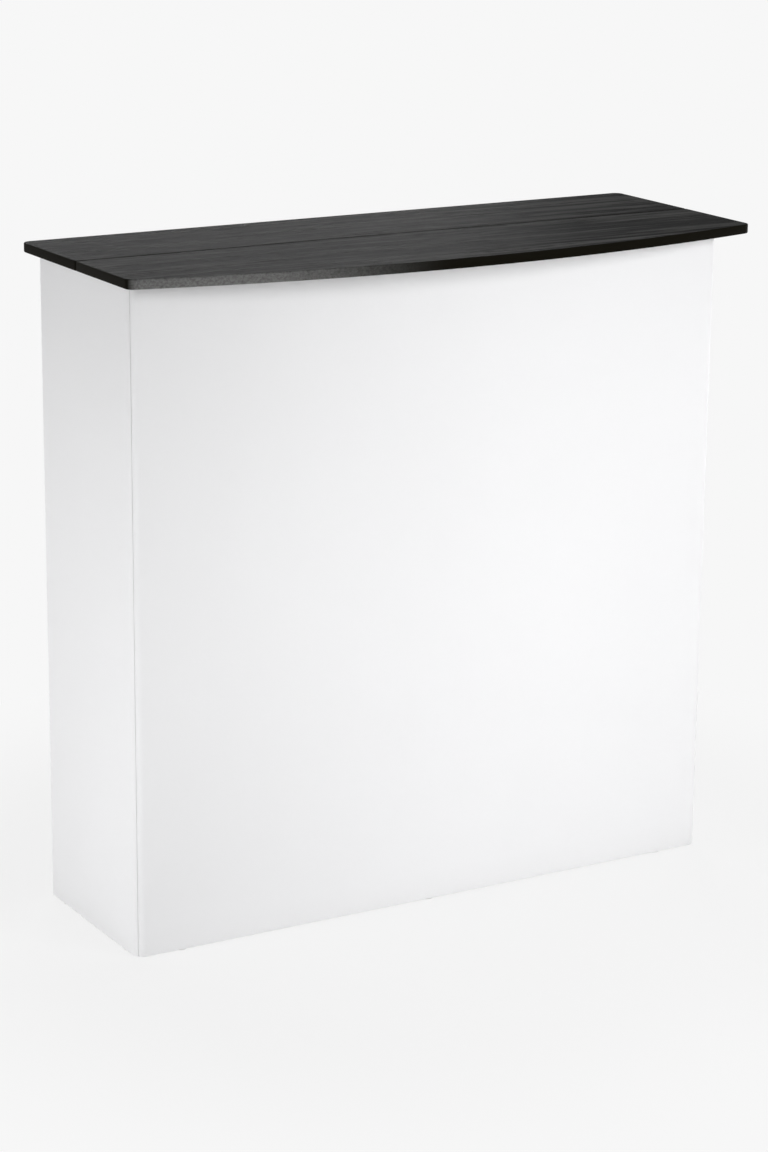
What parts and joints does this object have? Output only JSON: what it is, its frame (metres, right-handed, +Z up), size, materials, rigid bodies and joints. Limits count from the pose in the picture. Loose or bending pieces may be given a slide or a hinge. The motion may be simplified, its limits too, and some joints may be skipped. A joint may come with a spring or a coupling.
{
  "type": "folding portable bar",
  "caption": "Free-standing folding bar: flat white front panel with hinged wings, drop-down shelves behind, and a bowed dark wood-grain worktop in hinged leaves that lifts off.",
  "frame": {"origin": "on the floor, under the middle of the worktop's outline", "axes": "+X along the bar, -Y towards the guests, +Z up"},
  "size_m": [1.1, 0.44, 1.065],
  "materials": {
    "white_laminate": "satin white laminate on board",
    "black_woodgrain": "matt black laminate with an embossed wood grain",
    "black_edging": "satin black edge banding",
    "zinc_steel": "bright zinc-plated pressed steel",
    "beech": "turned beech dowel",
    "glide_plastic": "moulded pale grey plastic"
  },
  "bodies": {
    "front": {"front_panel": "white_laminate", "left_top_dowel": "beech", "right_top_dowel": "beech", "front_glide_left": "glide_plastic", "front_glide_middle": "glide_plastic", "front_glide_right": "glide_plastic", "left_hinge_block_lower": "white_laminate", "left_hinge_block_middle": "white_laminate", "left_hinge_block_upper": "white_laminate", "right_hinge_block_lower": "white_laminate", "right_hinge_block_middle": "white_laminate", "right_hinge_block_upper": "white_laminate", "left_hinge_fixed_leaf_lower": "zinc_steel", "left_hinge_fixed_leaf_middle": "zinc_steel", "left_hinge_fixed_leaf_upper": "zinc_steel", "right_hinge_fixed_leaf_lower": "zinc_steel", "right_hinge_fixed_leaf_middle": "zinc_steel", "right_hinge_fixed_leaf_upper": "zinc_steel", "left_hinge_pin_lower": "zinc_steel", "left_hinge_pin_middle": "zinc_steel", "left_hinge_pin_upper": "zinc_steel", "right_hinge_pin_lower": "zinc_steel", "right_hinge_pin_middle": "zinc_steel", "right_hinge_pin_upper": "zinc_steel", "lower_shelf_batten": "white_laminate", "upper_shelf_batten": "white_laminate", "lower_shelf_hinge_fixed_leaf": "zinc_steel", "upper_shelf_hinge_fixed_leaf": "zinc_steel", "lower_shelf_hinge_pin": "zinc_steel", "upper_shelf_hinge_pin": "zinc_steel"},
    "left_wing": {"left_wing_panel": "white_laminate", "left_hinge_wing_leaf_lower": "zinc_steel", "left_hinge_wing_leaf_middle": "zinc_steel", "left_hinge_wing_leaf_upper": "zinc_steel", "left_lower_shelf_cleat": "white_laminate", "left_upper_shelf_cleat": "white_laminate", "left_glide_front": "glide_plastic", "left_glide_rear": "glide_plastic"},
    "right_wing": {"right_wing_panel": "white_laminate", "right_hinge_wing_leaf_lower": "zinc_steel", "right_hinge_wing_leaf_middle": "zinc_steel", "right_hinge_wing_leaf_upper": "zinc_steel", "right_lower_shelf_cleat": "white_laminate", "right_upper_shelf_cleat": "white_laminate", "right_glide_front": "glide_plastic", "right_glide_rear": "glide_plastic"},
    "lower_shelf": {"lower_shelf": "white_laminate", "lower_shelf_hinge_leaf": "zinc_steel"},
    "upper_shelf": {"upper_shelf": "white_laminate", "upper_shelf_hinge_leaf": "zinc_steel"},
    "top_front": {"front_top_leaf": "black_woodgrain", "front_top_edging": "black_edging", "top_hinge_front_leaf": "zinc_steel", "top_hinge_pin": "zinc_steel"},
    "top_back": {"back_top_leaf": "black_woodgrain", "back_top_edging": "black_edging", "top_hinge_back_leaf": "zinc_steel"}
  },
  "joints": [
    {"name": "left_wing_fold", "type": "hinge", "parent": "front", "child": "left_wing", "pos_m": [-0.5039, -0.0691, 0.5], "axis": [0, 0, 1], "range_deg": [-90, 0]},
    {"name": "right_wing_fold", "type": "hinge", "parent": "front", "child": "right_wing", "pos_m": [0.5039, -0.0691, 0.5], "axis": [0, 0, -1], "range_deg": [-90, 0]},
    {"name": "lower_shelf_fold", "type": "hinge", "parent": "front", "child": "lower_shelf", "pos_m": [0, -0.0714, 0.3547], "axis": [-1, 0, 0], "range_deg": [0, 90]},
    {"name": "upper_shelf_fold", "type": "hinge", "parent": "front", "child": "upper_shelf", "pos_m": [0, -0.0714, 0.7191], "axis": [-1, 0, 0], "range_deg": [0, 90]},
    {"name": "top_lift", "type": "slide", "parent": "front", "child": "top_front", "axis": [0, 0, 1], "range_m": [0, 0.65]},
    {"name": "top_fold", "type": "hinge", "parent": "top_front", "child": "top_back", "pos_m": [0, 0.023, 1.0469], "axis": [-1, 0, 0], "range_deg": [0, 180]}
  ],
  "couplings": [
    {"joint": "top_fold", "follows": "top_lift", "rad_per_m": 4.8332}
  ]
}
